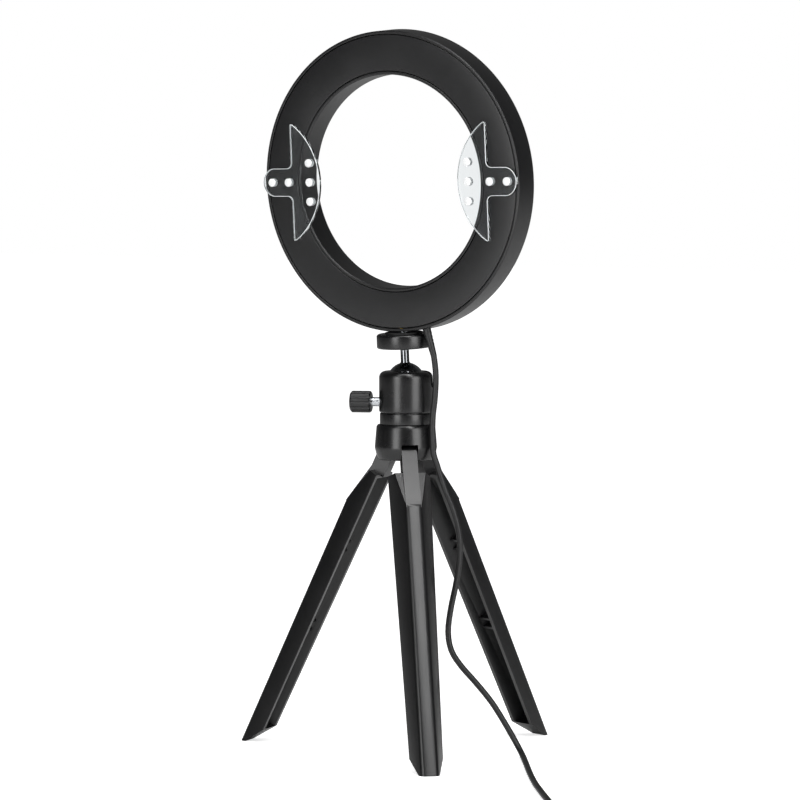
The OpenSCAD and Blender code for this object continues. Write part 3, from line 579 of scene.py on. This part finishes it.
socket_piece()
HUB_TOP, BASE_R = 174.5 * MM, 13.9 * MM
base_profile = corners([(0, HUB_TOP), (BASE_R, HUB_TOP), (BASE_R, GROOVE_Z),
                        (BASE_R - 0.9 * MM, GROOVE_Z + 0.1 * MM),
                        (BASE_R - 0.9 * MM, GROOVE_Z + 0.5 * MM), (0, GROOVE_Z + 0.5 * MM)],
                       np.array([0, 0.5, 0.5, 0, 0, 0]) * MM)
turned("head_base_skin", "head_base", base_profile, UPRIGHT, closed=False)
print("socket up to", round(SOCKET_TOP, 4), "m")

# %% [markdown]
# ## Colours and finishes
# Every colour is written as an sRGB hex value, and one function turns it to the linear numbers
# that the shader wants. One small function adds a node with its settings and links.

# %% Material helpers
def linear(hex_colour):
    """sRGB hex to linear: c/12.92 below 0.04045, else ((c + 0.055)/1.055) to the power 2.4."""
    c = np.array([int(hex_colour[i:i + 2], 16) for i in (1, 3, 5)]) / 255
    c = np.where(c <= 0.04045, c / 12.92, ((c + 0.055) / 1.055) ** 2.4)
    return (*map(float, c), 1.0)


def add(tree, kind, values=None, links=None, **settings):
    """Adds a node: settings are its properties, values its unlinked inputs, links input -> output."""
    node = tree.nodes.new(kind)
    for key, value in settings.items():
        setattr(node, key, value)
    for key, value in (values or {}).items():
        node.inputs[key].default_value = value
    for key, socket in (links or {}).items():
        tree.links.new(socket, node.inputs[key])
    return node


def new_material(name):
    """An empty node material and its tree."""
    material = bpy.data.materials.new(name)
    material.use_nodes = True
    material.node_tree.nodes.clear()
    return material, material.node_tree


def finished(material, tree, shader):
    """Joins the shader to the material's output."""
    add(tree, "ShaderNodeOutputMaterial", links={"Surface": shader.outputs[0]})
    return material


def moulded(name, colour, pale, roughness, grain_mm, depth_mm, ior=1.53):
    """Injection-moulded plastic: the tool's spark-eroded grain is a fine bump, a slow noise moves
    the colour between two close values, and a second one changes the roughness a little, as
    handling and flow do."""
    material, tree = new_material(name)
    place = add(tree, "ShaderNodeTexCoord").outputs["Object"]
    grain = add(tree, "ShaderNodeTexNoise", {"Scale": 1 / (grain_mm * MM), "Detail": 2.0}, {"Vector": place})
    slow = add(tree, "ShaderNodeTexNoise", {"Scale": 1 / (22 * MM), "Detail": 3.0}, {"Vector": place})
    tint = add(tree, "ShaderNodeMix", {"A": linear(colour), "B": linear(pale)},
               {"Factor": slow.outputs["Fac"]}, data_type="RGBA")
    gloss = add(tree, "ShaderNodeMapRange", {"To Min": roughness * 0.88, "To Max": roughness * 1.14},
                {"Value": slow.outputs["Fac"]})
    bump = add(tree, "ShaderNodeBump", {"Strength": 0.6, "Distance": depth_mm * MM},
               {"Height": grain.outputs["Fac"]})
    shader = add(tree, "ShaderNodeBsdfPrincipled", {"IOR": ior},
                 {"Base Color": tint.outputs["Result"], "Roughness": gloss.outputs["Result"],
                  "Normal": bump.outputs["Normal"]})
    return finished(material, tree, shader)


def plated(name, colour, roughness, streak_mm=0.0):
    """Turned and plated metal: fine marks left by the tool, a noise streak_mm across (0.8 mm where it is less),
    vary the roughness and the bump.
    """
    material, tree = new_material(name)
    place = add(tree, "ShaderNodeTexCoord").outputs["Object"]
    noise = add(tree, "ShaderNodeTexNoise", {"Scale": 1 / (max(streak_mm, 0.8) * MM), "Detail": 2.0},
                {"Vector": place})
    gloss = add(tree, "ShaderNodeMapRange", {"To Min": roughness * 0.8, "To Max": roughness * 1.3},
                {"Value": noise.outputs["Fac"]})
    bump = add(tree, "ShaderNodeBump", {"Strength": 0.3, "Distance": 0.01 * MM},
               {"Height": noise.outputs["Fac"]})
    shader = add(tree, "ShaderNodeBsdfPrincipled", {"Base Color": linear(colour), "Metallic": 1.0},
                 {"Roughness": gloss.outputs["Result"], "Normal": bump.outputs["Normal"]})
    return finished(material, tree, shader)


def clear_sheet(name, colour, roughness, ior, transmission=1.0):
    """Clear or milky plastic: light goes through, with a faint haze in the roughness."""
    material, tree = new_material(name)
    place = add(tree, "ShaderNodeTexCoord").outputs["Object"]
    haze = add(tree, "ShaderNodeTexNoise", {"Scale": 1 / (6 * MM), "Detail": 2.0}, {"Vector": place})
    gloss = add(tree, "ShaderNodeMapRange", {"To Min": roughness * 0.7, "To Max": roughness * 1.4},
                {"Value": haze.outputs["Fac"]})
    shader = add(tree, "ShaderNodeBsdfPrincipled",
                 {"Base Color": linear(colour), "IOR": ior, "Transmission Weight": transmission},
                 {"Roughness": gloss.outputs["Result"]})
    return finished(material, tree, shader)


# %% [markdown]
# ## The finishes
# Satin black ABS is a dark grey dielectric with a fine grain; the head is the same plastic from a
# polished tool. The opal is diffusing acrylic, the ball is black chrome, and the lead is soft PVC.

# %% Finishes
FINISH = {
    "satin_abs": moulded("satin black ABS", "#0f0f10", "#121213", 0.34, 0.30, 0.010),
    "satin_abs_back": moulded("fine satin black ABS", "#121213", "#151516", 0.30, 0.22, 0.004),
    "opal": moulded("opal acrylic", "#f3f2ee", "#efede7", 0.42, 0.5, 0.003, ior=1.49),
    "board_white": moulded("white solder mask", "#e8e8e3", "#dedfd8", 0.35, 0.6, 0.004),
    "led": moulded("LED phosphor", "#f0df78", "#ead565", 0.4, 0.4, 0.004),
    "zinc_steel": plated("zinc-plated steel", "#c6c9cd", 0.24, streak_mm=0.5),
    "brass": plated("turned brass", "#c9a353", 0.26, streak_mm=0.5),
    "clear_acrylic": clear_sheet("cast acrylic", "#f2f5f6", 0.01, 1.49),
    "frosted_acrylic": clear_sheet("milky polycarbonate", "#fbfcfc", 0.3, 1.58, 0.25),
    "cord_pvc": moulded("matt black PVC", "#0c0c0d", "#101011", 0.5, 0.35, 0.006),
    "black_chrome": plated("black chrome", "#7c7e81", 0.09),
    "gloss_abs": moulded("polished black ABS", "#0a0a0b", "#0d0d0e", 0.27, 0.30, 0.002),
    "rubber": moulded("black rubber", "#0c0c0c", "#101010", 0.65, 0.4, 0.015, ior=1.5),
    "acetal": moulded("natural acetal", "#e2dfd6", "#d9d6cc", 0.35, 0.5, 0.004),
    "knob_abs": moulded("satin black knob ABS", "#0c0c0d", "#101011", 0.30, 0.30, 0.006),
    "leg_nylon": moulded("glass-filled nylon", "#0b0b0c", "#0f0f10", 0.31, 0.35, 0.010),
    "remote_abs": moulded("textured black ABS", "#111112", "#151516", 0.45, 0.30, 0.020),
    "board_green": moulded("green solder mask", "#1f6b3a", "#23753f", 0.3, 0.6, 0.004),
    "button_red": moulded("red silicone", "#b8362c", "#b03027", 0.5, 0.4, 0.006, ior=1.43),
    "button_grey": moulded("grey silicone", "#c9cbcd", "#c2c4c6", 0.5, 0.4, 0.006, ior=1.43),
}


def painted_glow_edge():
    """Edge of the laser-cut sheet with a painted glow: an emission, varied in streaks, makes it look bright."""
    material, tree = new_material("acrylic edge with painted glow")
    place = add(tree, "ShaderNodeTexCoord").outputs["Object"]
    painted_glow_streaks = add(tree, "ShaderNodeTexNoise", {"Scale": 1 / (9 * MM), "Detail": 1.0}, {"Vector": place})
    glow = add(tree, "ShaderNodeMapRange", {"To Min": 0.0, "To Max": 0.45}, {"Value": painted_glow_streaks.outputs["Fac"]})
    shader = add(tree, "ShaderNodeBsdfPrincipled",
                 {"Base Color": linear("#dfe3e4"), "Roughness": 0.3, "IOR": 1.49, "Transmission Weight": 0.35,
                  "Emission Color": linear("#f2f6f7")}, {"Emission Strength": glow.outputs["Result"]})
    return finished(material, tree, shader)


def dress(piece, *finishes):
    """Gives a piece its finishes; the first is on every face that names no other."""
    indices = np.empty(len(piece.data.polygons), np.int32)
    piece.data.polygons.foreach_get("material_index", indices)
    piece.data.materials.clear()
    for finish in finishes:
        piece.data.materials.append(finish)
    piece.data.polygons.foreach_set("material_index", np.minimum(indices, len(finishes) - 1))


for piece in [o for o in bpy.data.objects if o.type == "MESH" and "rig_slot" in o]:
    dress(piece, FINISH[piece["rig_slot"]])
# The brackets' bevels carry this finish: a painted glow, an emission of 0 to 0.45 in streaks.
PAINTED_GLOW_FINISH = painted_glow_edge()
for piece in brackets:
    dress(piece, FINISH["clear_acrylic"], PAINTED_GLOW_FINISH)
for node_name, node_object in frame["nodes"].items():
    if node_object.data.materials:
        for index in range(len(node_object.data.materials)):
            node_object.material_slots[index].material = FINISH[SLOT[node_name]]
    else:
        dress(node_object, FINISH[SLOT[node_name]])
print("finishes", len(FINISH))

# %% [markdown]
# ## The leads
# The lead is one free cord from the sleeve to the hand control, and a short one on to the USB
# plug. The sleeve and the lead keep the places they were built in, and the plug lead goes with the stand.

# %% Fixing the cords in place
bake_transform(cord_sleeve)
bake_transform(power_cord)
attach(plug_lead, "stand")

# %% [markdown]
# ## The studio
# The object stands on a white table in a white sweep. The camera sees pure white behind it; the
# table also gives off light that grows with the distance, so that no horizon is seen.

# %% Floor
floor_mesh = bpy.data.meshes.new("floor")
FLOOR_HALF = 6.0
floor_mesh.from_pydata([(-FLOOR_HALF, -FLOOR_HALF, 0), (FLOOR_HALF, -FLOOR_HALF, 0),
                        (FLOOR_HALF, FLOOR_HALF, 0), (-FLOOR_HALF, FLOOR_HALF, 0)], [], [(0, 1, 2, 3)])
floor = bpy.data.objects.new("floor", floor_mesh)
bpy.context.scene.collection.objects.link(floor)
print("floor", 2 * FLOOR_HALF, "m wide")
floor_finish, floor_tree = new_material("white table")
rays = add(floor_tree, "ShaderNodeLightPath")
board = add(floor_tree, "ShaderNodeBsdfDiffuse", {"Color": linear("#f4f4f4")})
spot = add(floor_tree, "ShaderNodeTexCoord").outputs["Object"]
away = add(floor_tree, "ShaderNodeVectorMath", links={0: spot}, operation="LENGTH")
reach = add(floor_tree, "ShaderNodeMapRange",
            {"From Min": 0.25, "From Max": 1.6, "To Min": 0.62, "To Max": 1.0},
            {"Value": away.outputs["Value"]}, interpolation_type="SMOOTHSTEP")
glow = add(floor_tree, "ShaderNodeEmission", {"Color": linear("#ffffff")},
           {"Strength": reach.outputs["Result"]})
both = add(floor_tree, "ShaderNodeAddShader", links={0: board.outputs[0], 1: glow.outputs[0]})
seen = add(floor_tree, "ShaderNodeMixShader",
           links={"Fac": rays.outputs["Is Camera Ray"], 1: board.outputs[0], 2: both.outputs[0]})
finished(floor_finish, floor_tree, seen)
floor_mesh.materials.append(floor_finish)

# %% [markdown]
# The room is white to the camera and through clear plastic. Reflections see a much darker room,
# a little lighter on the side away from the camera, so that black plastic stays black between
# the soft boxes.

# %% World
world = bpy.data.worlds.new("studio")
bpy.context.scene.world = world
world.use_nodes = True
sky = world.node_tree
sky.nodes.clear()
direction = add(sky, "ShaderNodeTexCoord").outputs["Generated"]
BEHIND = Vector(LAID @ Vector((0, 1, 0)))
toward = add(sky, "ShaderNodeVectorMath", {1: tuple(BEHIND)}, {0: direction}, operation="DOT_PRODUCT")
level = add(sky, "ShaderNodeMapRange", {"From Min": 0.0, "From Max": 0.9, "To Min": 0.03, "To Max": 0.14},
            {"Value": toward.outputs["Value"]}, interpolation_type="SMOOTHSTEP")
path = add(sky, "ShaderNodeLightPath")
plain = add(sky, "ShaderNodeMath", {1: 0.16}, {0: path.outputs["Is Diffuse Ray"]}, operation="MULTIPLY")
strength = add(sky, "ShaderNodeMath", links={0: level.outputs["Result"], 1: plain.outputs[0]},
               operation="ADD")
around = add(sky, "ShaderNodeBackground", {"Color": linear("#ffffff")}, {"Strength": strength.outputs[0]})
white = add(sky, "ShaderNodeBackground", {"Color": linear("#ffffff"), "Strength": 1.0})
either = add(sky, "ShaderNodeMath", operation="MAXIMUM",
             links={0: path.outputs["Is Camera Ray"], 1: path.outputs["Is Transmission Ray"]})
chosen = add(sky, "ShaderNodeMixShader",
             links={"Fac": either.outputs[0], 1: around.outputs[0], 2: white.outputs[0]})
add(sky, "ShaderNodeOutputWorld", links={"Surface": chosen.outputs[0]})
print("world nodes", len(sky.nodes))

# %% [markdown]
# Two tall boxes stand level with the lamp, two narrow ones hang higher, and one square one is overhead.
# The tall ones draw the two upright stripes on the head.

# %% Soft boxes
def soft_box(name, turn_deg, distance, height, size, watts, aim_height=0.2):
    """An area light `distance` from the axis, turn_deg from the camera's side, aimed at the axis."""
    light = bpy.data.lights.new(name, "AREA")
    light.shape = "RECTANGLE"
    light.size, light.size_y = size
    light.energy = watts
    lamp = bpy.data.objects.new(name, light)
    bpy.context.scene.collection.objects.link(lamp)
    turn = math.radians(turn_deg)
    spot = LAID @ Vector((distance * math.sin(turn), -distance * math.cos(turn), height))
    aim = Vector((0, 0, aim_height)) - spot
    lamp.matrix_world = Matrix.Translation(spot) @ aim.to_track_quat("-Z", "Y").to_matrix().to_4x4()


soft_box("left soft box", -38, 1.5, 0.42, (0.62, 1.2), 12)
soft_box("right soft box", 42, 1.5, 0.42, (0.78, 1.2), 14)
soft_box("high left soft box", -36, 0.95, 1.65, (0.2, 1.5), 5)
soft_box("high right soft box", 22, 0.95, 1.65, (0.34, 1.5), 14)
soft_box("top soft box", 0, 0.1, 1.7, (1.0, 1.0), 5)
print("soft boxes", len(bpy.data.lights))

# %% Finish
bpy.context.scene.view_settings.view_transform = "Standard"
